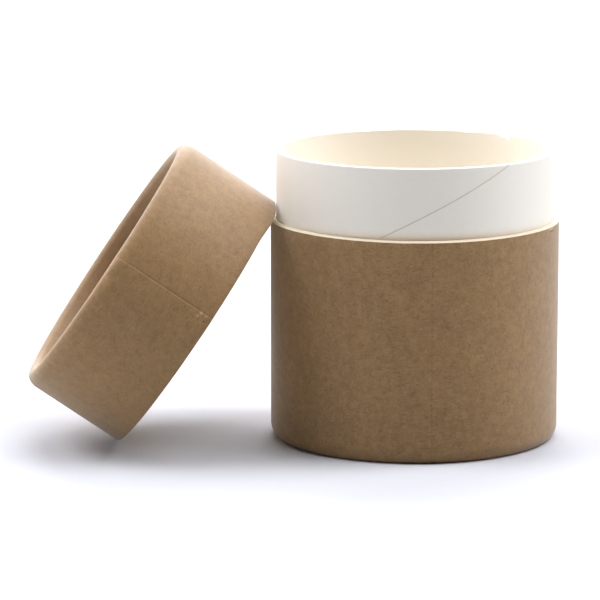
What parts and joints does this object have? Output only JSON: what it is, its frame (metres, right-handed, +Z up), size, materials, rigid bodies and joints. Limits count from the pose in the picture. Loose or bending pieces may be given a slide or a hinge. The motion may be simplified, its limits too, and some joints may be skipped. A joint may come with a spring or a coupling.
{
  "type": "cardboard tube container with slip-over lid",
  "caption": "Short wide kraft cardboard tube, open at the top with a white inner neck, its slip-over lid taken off and leaning against it.",
  "frame": {"origin": "centre of the ring that the body stands on, on the body's axis", "axes": "+Z up the body's axis, +X from the leaning lid towards the body, the lap seam of the body near -Y"},
  "size_m": [0.1655, 0.0958, 0.0919],
  "materials": {
    "kraft_board": "matte kraft paper over pale board, with fine fibres and specks",
    "white_board": "matte off-white paper over pale board",
    "end_board": "matte kraft board"
  },
  "bodies": {
    "root": {"body_tube": "kraft_board", "neck_tube": "white_board", "base_disc": "end_board", "lid_tube": "kraft_board", "lid_disc": "end_board"}
  },
  "joints": []
}
